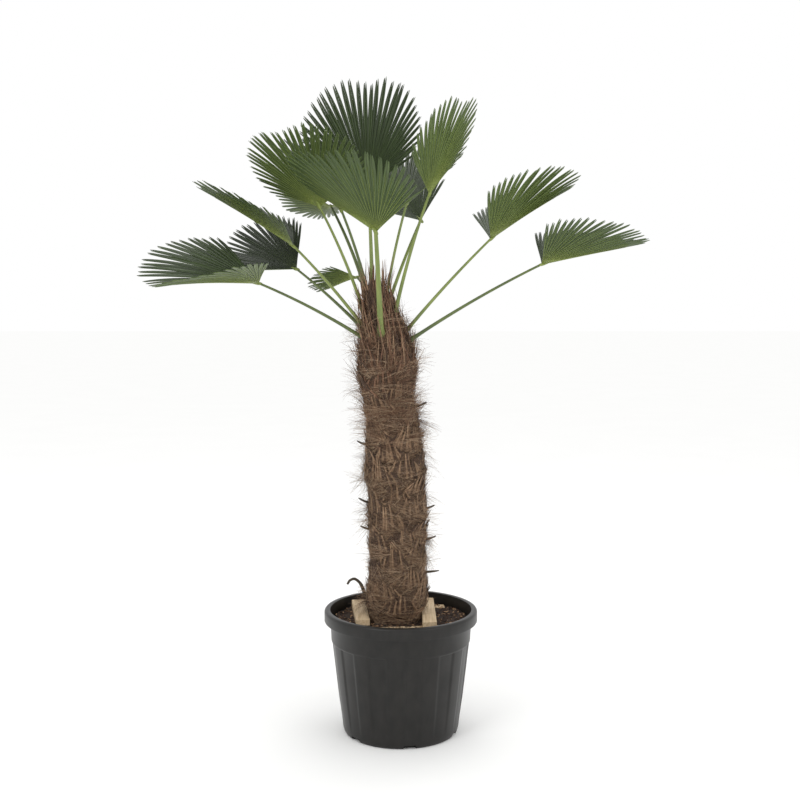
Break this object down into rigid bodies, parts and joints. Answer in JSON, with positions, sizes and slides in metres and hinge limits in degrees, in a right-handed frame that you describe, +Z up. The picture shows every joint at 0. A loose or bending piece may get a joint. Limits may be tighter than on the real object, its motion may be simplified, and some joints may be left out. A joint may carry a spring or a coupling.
{
  "type": "windmill palm in a pot",
  "caption": "Young windmill palm with a fibre-clad trunk and stiff round pleated fan leaves on slender stalks, standing in a black fluted nursery pot.",
  "frame": {"origin": "middle of the pot's flat underside, on the ground", "axes": "+Z up along the pot's axis, the front of the plant faces -Y, +X to the viewer's right"},
  "size_m": [1.6119, 0.9823, 2.1408],
  "materials": {
    "pot_plastic": "satin black polyethylene",
    "soil": "loose dark potting soil",
    "batten_wood": "rough sawn softwood",
    "trunk_fibre": "matted leaf-base fibre over wood",
    "old_stalk": "dry old leaf stalks",
    "petiole": "smooth green leaf stalk",
    "leaf": "stiff pleated leaf"
  },
  "bodies": {
    "root": {"batten_back": "batten_wood", "batten_front": "batten_wood", "batten_left": "batten_wood", "batten_right": "batten_wood", "fan_back": "leaf", "fan_back_left": "leaf", "fan_front": "leaf", "fan_left_flat": "leaf", "fan_left_inner": "leaf", "fan_left_low": "leaf", "fan_left_middle": "leaf", "fan_left_small": "leaf", "fan_left_upper": "leaf", "fan_right_inner": "leaf", "fan_right_low": "leaf", "fan_right_middle": "leaf", "fan_right_upper": "leaf", "fan_top": "leaf", "petiole_back": "petiole", "petiole_back_left": "petiole", "petiole_front": "petiole", "petiole_left_flat": "petiole", "petiole_left_inner": "petiole", "petiole_left_low": "petiole", "petiole_left_middle": "petiole", "petiole_left_small": "petiole", "petiole_left_upper": "petiole", "petiole_right_inner": "petiole", "petiole_right_low": "petiole", "petiole_right_middle": "petiole", "petiole_right_upper": "petiole", "petiole_top": "petiole", "pot": "pot_plastic", "soil": "soil", "stub_01": "old_stalk", "stub_02": "old_stalk", "stub_03": "old_stalk", "stub_04": "old_stalk", "stub_05": "old_stalk", "stub_06": "old_stalk", "stub_07": "old_stalk", "stub_hook": "old_stalk", "trunk": "trunk_fibre"}
  },
  "joints": []
}
